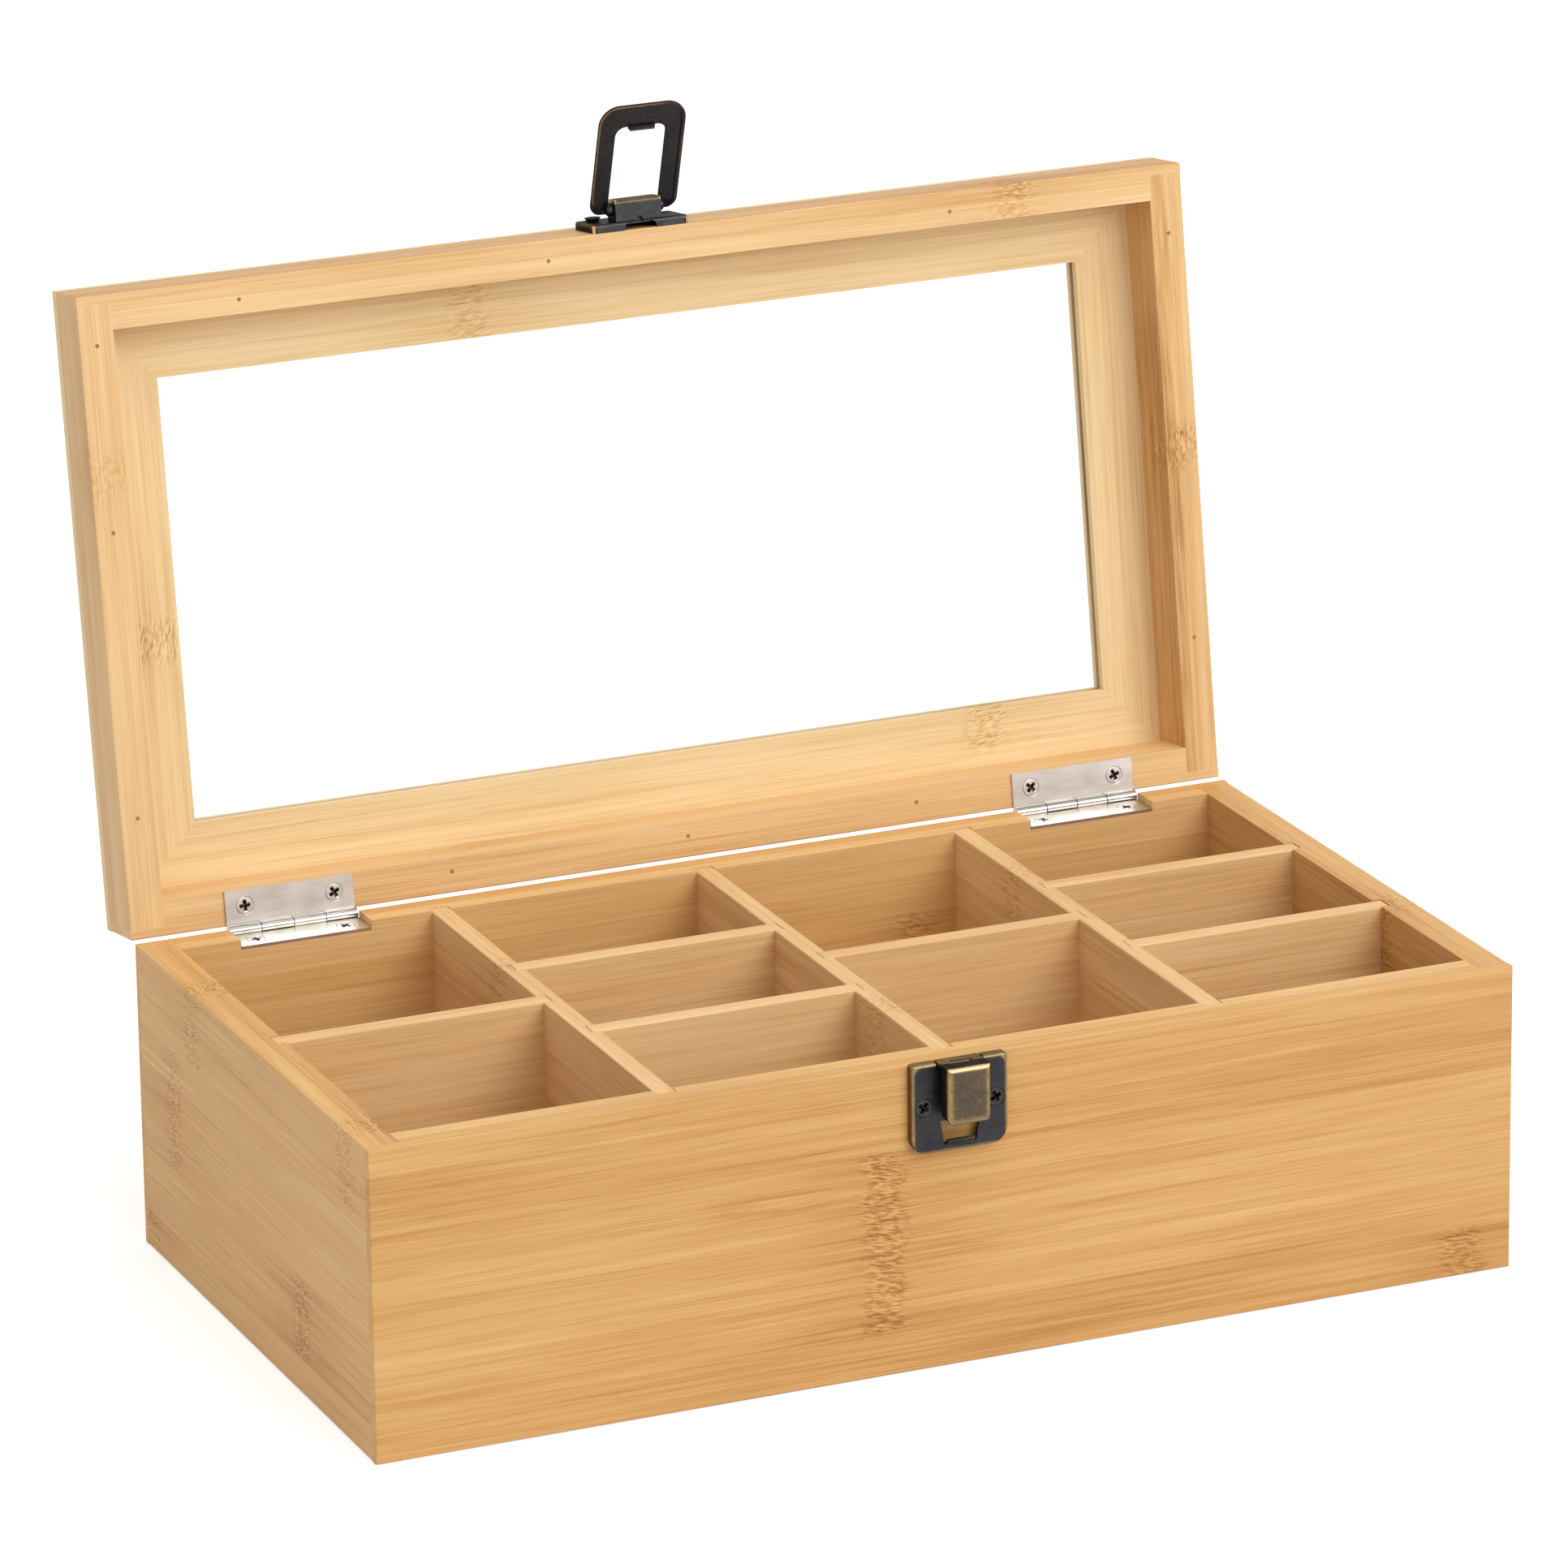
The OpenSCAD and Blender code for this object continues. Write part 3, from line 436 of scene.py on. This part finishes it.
def nickel(name, seed, rolled=False, darkening=1.0):
    """Satin nickel with fine brushing along X and, on a leaf, a smoother barrel. darkening scales its
    colour down, which paints the shade in the cross of a screw.
    """
    made, tree, out = new_material(name)
    grain = Grain(tree, "XYZ")
    brush = grain.noise(9, 0.09, 0.09, seed, 2)
    cloud = grain.noise(9, 6, 6, seed + 1, 2)
    shade = calc(tree, "MULTIPLY_ADD", brush, 0.45, calc(tree, "MULTIPLY", cloud, 0.55))
    gloss = calc(tree, "MULTIPLY_ADD", brush, 0.16, 0.26)
    if rolled:
        off_y = calc(tree, "SUBTRACT", grain.v, AXIS_Y / MM)
        off_z = calc(tree, "SUBTRACT", grain.w, AXIS_Z / MM)
        barrel = smooth(tree, distance(tree, off_y, off_z), KNUCKLE_R + 0.5, KNUCKLE_R)
        shade = calc(tree, "MULTIPLY_ADD", barrel, -0.45, shade)
        gloss = calc(tree, "MULTIPLY_ADD", barrel, -0.17, gloss)
    colour = ramp(tree, shade, [
        (0.0, tuple(darkening * part for part in (0.38, 0.35, 0.315))),
        (0.35, tuple(darkening * part for part in (0.62, 0.585, 0.545))),
        (0.65, tuple(darkening * part for part in (0.80, 0.765, 0.725))),
    ])
    bump = put(tree, "ShaderNodeBump", {"Strength": 0.1, "Distance": 0.00002, "Height": brush})
    body = put(tree, "ShaderNodeBsdfPrincipled", {
        "Base Color": colour,
        "Metallic": 1.0,
        "Roughness": gloss,
        "Normal": bump.outputs[0],
    })
    tree.links.new(body.outputs[0], out.inputs["Surface"])
    return made


dress(
    nickel("satin_nickel", 20.0, rolled=True),
    "left_hinge_base_leaf", "right_hinge_base_leaf", "left_hinge_pin", "right_hinge_pin",
    "left_hinge_lid_leaf", "right_hinge_lid_leaf",
)


# Screws: countersunk wood screws with a tapered cross recess, driven each to its own angle. The
# hinges have nickel ones and the clasp blackened ones; the cross of each is painted dark as shade in the
# recess.
# A thin gap shows between each head and its countersink.
HEAD_GAP = 0.17


def loft(name, rings, material, inside=None, inside_from=0):
    """Skin over closed rings of points, rings[i, j] being point j of ring i: each four neighbours
    make a face, and one face closes each end. From ring inside_from on it is made of inside."""
    count, around = rings.shape[:2]
    here = np.arange(count * around).reshape(count, around)
    beside = np.roll(here, -1, axis=1)
    walls = np.stack([here[:-1], beside[:-1], beside[1:], here[1:]], axis=-1).reshape(-1, 4)
    mesh = bpy.data.meshes.new(name)
    faces = [*walls.tolist(), here[0][::-1].tolist(), here[-1].tolist()]
    mesh.from_pydata((rings.reshape(-1, 3) * MM).tolist(), [], faces)
    mesh.materials.append(material)
    if inside:
        mesh.materials.append(inside)
        slots = np.zeros(len(faces), dtype=np.int32)
        slots[inside_from * around:len(walls)] = 1
        slots[-1] = 1
        mesh.polygons.foreach_set("material_index", slots)
    mesh.shade_smooth()
    mesh.set_sharp_from_angle(angle=math.radians(32))
    made = bpy.data.objects.new(name, mesh)
    bpy.context.scene.collection.objects.link(made)
    return made


def screw_rings(head_d, long, turned):
    """Rings of a screw along -Z with its head face at the origin, from the point up over the
    cone and the rim of the head, then across the face and down the walls of the cross, whose
    outline is the farther of two crossed rectangles at each angle."""
    around = np.linspace(0, 2 * np.pi, 96, endpoint=False)
    head = head_d / 2 - HEAD_GAP
    circles = [(0.15, -long), (1.15, 2 - long), (1.15, -1.55), (head - 0.05, -0.22), (head, -0.1),
               (head - 0.1, -0.02), (head - 0.35, 0.0)]
    arm, half = 0.30 * head_d, 0.095 * head_d
    cos, sin = np.abs(np.cos(around)) + 1e-9, np.abs(np.sin(around)) + 1e-9
    cross = np.maximum(np.minimum(arm / cos, half / sin), np.minimum(half / cos, arm / sin))
    radii = [np.full_like(around, radius) for radius, _ in circles]
    radii += [cross + 0.1, cross, cross * 0.93, cross * 0.62, cross * 0.30]
    heights = [height for _, height in circles] + [0.0, -0.06, -0.25, -1.0, -1.35]
    radii = np.array(radii)
    angle = around + turned
    return np.stack([
        radii * np.cos(angle),
        radii * np.sin(angle),
        np.repeat(np.array(heights)[:, None], len(around), axis=1),
    ], axis=-1)


def placed(rings, at, tilt, opened=False):
    """Rings turned by tilt degrees about X and moved to at, then swung open with the lid."""
    turned = np.array(Matrix.Rotation(math.radians(tilt), 3, "X"))
    points = rings @ turned.T + np.array(at)
    if opened:
        axis = np.array([0, AXIS_Y, AXIS_Z]) / MM
        points = (points - axis) @ np.array(Matrix.Rotation(-OPEN, 3, "X")).T + axis
    return points


# From this ring on the skin of a screw is the floor and the walls of its cross.
CROSS_RING = 8


def screws(node, body, material, recess_shade, head_d, long, spots, tilt, opened=False):
    """The screws of one CAD node, given as (x, y, z, turn in degrees); recess_shade is the material of
    the cross, painted dark as shade in the recess.
    """
    for index, (x, y, z, turned) in enumerate(spots, 1):
        rings = screw_rings(head_d, long, math.radians(turned))
        rings = placed(rings, (x, y, z), tilt, opened)
        piece = loft(f"{node}_{index}", rings, material, recess_shade, CROSS_RING)
        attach(piece, body)
        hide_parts(node)


BARREL_GAP, SCREW_PITCH, HINGE_HEAD_D, HINGE_SCREW_LONG = 0.35, 26.5, 5.3, 11
INNER_Y = HALF_D - WALL
BARREL_FRONT = AXIS_Y / MM - KNUCKLE_R - BARREL_GAP
HINGE_SCREW_Y = (INNER_Y + BARREL_FRONT) / 2
HINGE_X = HALF_W - HINGE_INSET - HINGE_W / 2
SCREW_X = [side * HINGE_X + half * SCREW_PITCH / 2 for side in (-1, 1) for half in (-1, 1)]
LEAF_TOP = AXIS_Z / MM - KNUCKLE_R + LEAF_T
LID_LEAF_TOP = 2 * AXIS_Z / MM - LEAF_TOP
screw_nickel = nickel("screw_nickel", 22.0)
# The cross of a hinge screw is painted near black, as shade in its recess.
recess_shade_nickel = nickel("recess_shade_nickel", 24.0, darkening=0.16)
base_spots = [(x, HINGE_SCREW_Y, LEAF_TOP, turned) for x, turned in zip(SCREW_X, (12, 40, 71, 25))]
lid_spots = [(x, HINGE_SCREW_Y, LID_LEAF_TOP, turned) for x, turned in zip(SCREW_X, (4, 30, 48, 22))]
screws("hinge_base_screws", "base", screw_nickel, recess_shade_nickel, HINGE_HEAD_D, HINGE_SCREW_LONG,
       base_spots, 0)
screws("hinge_lid_screws", "lid", screw_nickel, recess_shade_nickel, HINGE_HEAD_D, HINGE_SCREW_LONG,
       lid_spots, 180, opened=True)


# Catch: pressed from brass plated steel, darkened to antique bronze and rubbed back to brass on
# its edges and on the face of the block.
def antique_bronze(name, seed, rubbed_and_glint=None, untilt=None, base=0.0):
    """Blue-black and brown patina. rubbed_and_glint gives, from the tree and the place in millimetres,
    how far the brass shows from 0 to 1, as wear and, on the latch tabs, as a painted highlight."""
    made, tree, out = new_material(name)
    grain = Grain(tree, "XYZ", untilt)
    patch = grain.noise(6, 6, 6, seed, 2)
    fine = grain.noise(0.9, 0.9, 0.9, seed + 1, 3, roughness=0.65)
    worn = varied(tree, varied(tree, base, patch, 0.30), fine, 0.42)
    if rubbed_and_glint:
        worn = calc(tree, "ADD", worn, rubbed_and_glint(tree, grain.u, grain.v, grain.w))
    colour = ramp(tree, calc(tree, "ADD", worn, 0.0, clamp=True), [
        (0.0, (0.026, 0.028, 0.034)), (0.22, (0.050, 0.048, 0.050)), (0.42, (0.115, 0.085, 0.050)),
        (0.68, (0.27, 0.19, 0.090)), (1.0, (0.62, 0.46, 0.22)),
    ])
    gloss = calc(tree, "MULTIPLY_ADD", fine, 0.30, 0.22)
    bump = put(tree, "ShaderNodeBump", {"Strength": 0.25, "Distance": 0.00004, "Height": fine})
    body = put(tree, "ShaderNodeBsdfPrincipled", {
        "Base Color": colour,
        "Metallic": 0.9,
        "Roughness": gloss,
        "Specular Tint": (0.32, 0.30, 0.28, 1),
        "Normal": bump.outputs[0],
    })
    tree.links.new(body.outputs[0], out.inputs["Surface"])
    return made


def outline_distance(tree, p, q, half_p, half_q, radius):
    """Distance from the outline of a rounded rectangle about the origin, negative inside."""
    far_p = calc(tree, "SUBTRACT", calc(tree, "ABSOLUTE", p), half_p - radius)
    far_q = calc(tree, "SUBTRACT", calc(tree, "ABSOLUTE", q), half_q - radius)
    out_p, out_q = calc(tree, "MAXIMUM", far_p, 0.0), calc(tree, "MAXIMUM", far_q, 0.0)
    inner = calc(tree, "MINIMUM", calc(tree, "MAXIMUM", far_p, far_q), 0.0)
    return calc(tree, "SUBTRACT", calc(tree, "ADD", distance(tree, out_p, out_q), inner), radius)


CATCH_TOP, CATCH_LOW = (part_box("catch_plate")[index].z / MM for index in (1, 0))
CATCH_OUT = -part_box("catch_plate")[0].y / MM
CATCH_HALF, CATCH_PROUD, CATCH_ROUND = 14, 3, 3
BLOCK_HALF, BLOCK_H = 6.35, 16.2
LIP_LOW, LIP_HIGH, LIP_HALF = CATCH_LOW + 2.9, CATCH_LOW + 3.75, 4.4
CLASP_HEAD_D, CLASP_SCREW_LONG = 5.4, 10
CATCH_SCREW_X, CATCH_SCREW_DOWN = 10.5, 12.1


def edge_wear(tree, from_one, from_other, far, near, strength):
    """Wear of an edge between two faces, by the sum of the distances from them."""
    return smooth(tree, calc(tree, "ADD", from_one, from_other), far, near, 0.0, strength)


def catch_wear_and_glint(tree, x, y, z):
    """Brass on the rim of the tray, on the edges of the block and thinly all over its face, and a painted
    highlight of brass on the lip below the block.
    """
    side = calc(tree, "ABSOLUTE", x)
    middle = (CATCH_TOP + CATCH_LOW) / 2
    from_middle = calc(tree, "SUBTRACT", z, middle)
    rim = outline_distance(tree, x, from_middle, CATCH_HALF, middle - CATCH_LOW, CATCH_ROUND)
    rim = smooth(tree, rim, -1.25, -0.35, 0.0, 0.55)
    block_root = -HALF_D - CATCH_PROUD - 1
    on_block = smooth(tree, y, block_root, block_root - 0.6)
    from_front = calc(tree, "ADD", y, CATCH_OUT)
    from_side = calc(tree, "SUBTRACT", BLOCK_HALF, side)
    from_low = calc(tree, "SUBTRACT", z, CATCH_TOP - BLOCK_H)
    from_top = calc(tree, "SUBTRACT", CATCH_TOP, z)
    side_edge = edge_wear(tree, from_front, from_side, 2.2, 0.7, 0.30)
    low_edge = edge_wear(tree, from_front, from_low, 2.6, 0.9, 0.26)
    top_edge = edge_wear(tree, from_front, from_top, 1.5, 0.5, 0.75)
    edges = calc(tree, "MAXIMUM", calc(tree, "MAXIMUM", side_edge, low_edge), top_edge)
    block = calc(tree, "ADD", edges, smooth(tree, from_front, 0.9, 0.3, 0.12, 0.28))
    # The lip is painted brass in a thin band as a highlight.
    under = smooth(tree, z, LIP_HIGH + 0.25, LIP_HIGH - 0.25)
    over = smooth(tree, z, LIP_LOW - 0.3, LIP_LOW + 0.2)
    lip = calc(tree, "MULTIPLY", under, over)
    lip = calc(tree, "MULTIPLY", lip, smooth(tree, side, LIP_HALF + 0.2, LIP_HALF - 0.2, 0.0, 0.4))
    plate = calc(tree, "MAXIMUM", rim, lip)
    return calc(tree, "MULTIPLY_ADD", on_block, calc(tree, "SUBTRACT", block, plate), plate)


dress(antique_bronze("catch_bronze", 30.0, catch_wear_and_glint, base=0.10), "catch_plate")
black_screw = antique_bronze("blackened_screw", 31.0, base=0.22)
# The cross of a clasp screw is painted darker, as shade in its recess.
recess_shade_bronze = antique_bronze("blackened_recess_shade", 33.0, base=-0.2)
CATCH_SCREW = (-HALF_D - CATCH_PROUD, CATCH_TOP - CATCH_SCREW_DOWN)
screws("catch_screws", "base", black_screw, recess_shade_bronze, CLASP_HEAD_D, CLASP_SCREW_LONG,
       [(-CATCH_SCREW_X, *CATCH_SCREW, 58), (CATCH_SCREW_X, *CATCH_SCREW, 28)], 90)

# Lid rim: four bamboo boards nailed and glued under the window frame, the long ones lapping the
# ends of the short ones. Their outer faces are painted a little darker than their edges, as painted
# shade.
FACE_SKIN = 0.1
dress(bamboo("bamboo_lid_front", "XZY", 16.0, tones=STRAW, ply=(GLUE_Y, -0.04, 0.10), untilt=SHUT,
             face=(HALF_D - FACE_SKIN, -0.24), culms=[(114, 80, 100, 0.7)]), "lid_front_rail")
dress(bamboo("bamboo_lid_back", "XZY", 17.0, tones=STRAW, ply=(GLUE_Y, -0.02, 0.06), untilt=SHUT,
             culms=[(-60, 96, 110, 0.6)]), "lid_back_rail")
dress(bamboo("bamboo_lid_left", "YZX", 18.0, tones=STRAW, ply=(GLUE_X, 0.04, 0.06), untilt=SHUT,
             face=(HALF_W - FACE_SKIN, -0.12), culms=[(-40, 80, 100, 0.5)]), "lid_left_rail")
dress(bamboo("bamboo_lid_right", "YZX", 19.0, tones=STRAW, ply=(GLUE_X, -0.02, -0.02), untilt=SHUT,
             streak=(GLUE_X - 3.2, 2.9, 0.34), culms=[(-8, 80, 100, 0.8)]), "lid_right_rail")

# Window frame: four flat bamboo strips, mitred and glued at the corners, grooved for the pane and
# rounded along their outer edge.
dress(bamboo("bamboo_frame_front", "XYZ", 21.0, tones=PALE, strip=60, untilt=SHUT,
             culms=[(-47, -100, -60, 0.6)]), "frame_front")
dress(bamboo("bamboo_frame_back", "XYZ", 22.0, tones=PALE, strip=60, untilt=SHUT,
             culms=[(102, 60, 76, 0.9)]), "frame_back")
dress(bamboo("bamboo_frame_left", "YXZ", 23.0, tones=PALE, strip=70, untilt=SHUT,
             culms=[(10, -156, -140, 0.9)]), "frame_left")
dress(bamboo("bamboo_frame_right", "YXZ", 24.0, tones=PALE, strip=70, untilt=SHUT), "frame_right")

# Brads: thin brown nails driven through the rim boards into the window frame, their heads a
# shade darker than the wood and sunk just under its face.
brown, tree, out = new_material("brown_brad")
grain = Grain(tree, "XYZ")
rust = ramp(tree, grain.noise(0.5, 0.5, 0.5, 40.0, 2), [
    (0.3, (0.26, 0.105, 0.036)), (0.7, (0.50, 0.25, 0.10)),
])
body = put(tree, "ShaderNodeBsdfPrincipled", {
    "Base Color": rust,
    "Roughness": 0.6,
    "Specular IOR Level": 0.2,
})
tree.links.new(body.outputs[0], out.inputs["Surface"])
dress(brown, "lid_brads")

# Pane: a sheet of clear glazing held in the groove of the window frame. Each face mirrors a
# little of the room, and more of it at a flat angle.
FACE_ON_MIRROR = 0.034
clear, tree, out = new_material("clear_pane")
grain = Grain(tree, "XYZ", SHUT)
through = put(tree, "ShaderNodeBsdfTransparent", {"Color": (0.985, 0.99, 0.99, 1)})
smudge = calc(tree, "MULTIPLY_ADD", grain.noise(60, 60, 60, 41.0, 2), 0.02, 0.005)
mirror = put(tree, "ShaderNodeBsdfPrincipled", {
    "Base Color": (1, 1, 1, 1),
    "Metallic": 1.0,
    "Roughness": smudge,
})
facing = put(tree, "ShaderNodeLayerWeight", {"Blend": 0.5}).outputs["Facing"]
flat_on = calc(tree, "POWER", facing, 5)
share = calc(tree, "MULTIPLY_ADD", flat_on, 1 - FACE_ON_MIRROR, FACE_ON_MIRROR)
pane_mix = put(tree, "ShaderNodeMixShader", {0: share, 1: through.outputs[0], 2: mirror.outputs[0]})
tree.links.new(pane_mix.outputs[0], out.inputs["Surface"])
dress(clear, "window_pane")

# Hasp: a pressed plate on the lid whose tongue wraps the pivot bar of the loop. Its edges are
# rubbed to brass; its left screw stands proud.
MATING_GAP = 0.5
LID_Z = CATCH_TOP + MATING_GAP
HASP_HALF, HASP_OUT, TONGUE_HALF, TONGUE_OUT = 14.5, 2.4, 6.9, 8.45
HASP_HEAD_D, HASP_SCREW_X, HASP_SCREW_UP, LOOSE_LIFT = 5.0, 10.9, 9, 1.2


def hasp_wear(tree, x, y, z):
    """Brass on the lower front corners and the rim of the tray and on the tongue's upper edge."""
    side = calc(tree, "ABSOLUTE", x)
    rise = calc(tree, "SUBTRACT", z, LID_Z)
    out = calc(tree, "SUBTRACT", -HALF_D, y)
    from_side = calc(tree, "SUBTRACT", HASP_HALF, side)
    from_front = calc(tree, "SUBTRACT", HASP_OUT, out)
    from_tongue = calc(tree, "ABSOLUTE", calc(tree, "SUBTRACT", TONGUE_HALF, side))
    from_tip = calc(tree, "SUBTRACT", TONGUE_OUT, out)
    corner = edge_wear(tree, from_side, rise, 1.0, 0.55, 0.75)
    top_side = edge_wear(tree, from_side, from_front, 1.2, 0.5, 0.25)
    tip = edge_wear(tree, from_tongue, from_tip, 1.6, 0.4, 0.7)
    rim = smooth(tree, from_tip, 1.3, 0.2, 0.0, 0.30)
    tray = calc(tree, "MAXIMUM", corner, top_side)
    return calc(tree, "MAXIMUM", tray, calc(tree, "MAXIMUM", tip, rim))


dress(antique_bronze("hasp_bronze", 50.0, hasp_wear, SHUT, base=0.20), "hasp_plate")
hasp_front, hasp_screw_z = -HALF_D - HASP_OUT, LID_Z + HASP_SCREW_UP
screws("hasp_screws", "lid", black_screw, recess_shade_bronze, HASP_HEAD_D, CLASP_SCREW_LONG,
       [(-HASP_SCREW_X, hasp_front - LOOSE_LIFT, hasp_screw_z, 20),
        (HASP_SCREW_X, hasp_front, hasp_screw_z, 50)], 90, opened=True)

# Loop: a ring pressed from sheet with its outer edge turned down, hung on its pivot bar. The
# turned edge is rubbed bright and the rest is brown-black.
hasp_pivot = next(joint for joint in frame["joints"] if joint["name"] == "hasp_pivot")
LOOP_LEAN = math.radians(73)
LOOP_FRAME = (LOOP_LEAN, hasp_pivot["pos_m"][1], hasp_pivot["pos_m"][2], 0.0, 0.0)
LOOP_HALF, LOOP_REACH, LOOP_FOOT, LOOP_CORNER = 13.1, 33.0, 1.6, 6.0
TAB_EDGE = -24.9


def loop_wear_and_glint(tree, x, y, z):
    """A bright line of wear along the turned edge, and a painted highlight on the edge of the latch tab.
    """
    middle = (LOOP_FOOT - LOOP_REACH) / 2
    half = (LOOP_FOOT + LOOP_REACH) / 2
    off = outline_distance(tree, x, calc(tree, "SUBTRACT", y, middle), LOOP_HALF, half, LOOP_CORNER)
    inward = smooth(tree, off, -0.75, -0.45)
    outward = smooth(tree, off, -0.02, -0.25)
    line = calc(tree, "MULTIPLY", inward, outward)
    edge = calc(tree, "MULTIPLY", line, smooth(tree, z, 0.75, 0.65, 0.0, 0.52))
    edge = calc(tree, "MULTIPLY", edge, smooth(tree, x, 11.0, 2.0, 0.25, 1.0))
    # The edge of the latch tab is painted brass as a highlight.
    before = smooth(tree, y, TAB_EDGE - 0.8, TAB_EDGE - 0.3)
    behind = smooth(tree, y, TAB_EDGE + 0.7, TAB_EDGE + 0.3)
    tab = calc(tree, "MULTIPLY", before, behind)
    tab = calc(tree, "MULTIPLY", tab, smooth(tree, z, 0.45, 0.2, 0.0, 0.5))
    return calc(tree, "MAXIMUM", edge, tab)


dress(antique_bronze("loop_bronze", 51.0, loop_wear_and_glint, LOOP_FRAME, base=0.14), "hasp_loop")
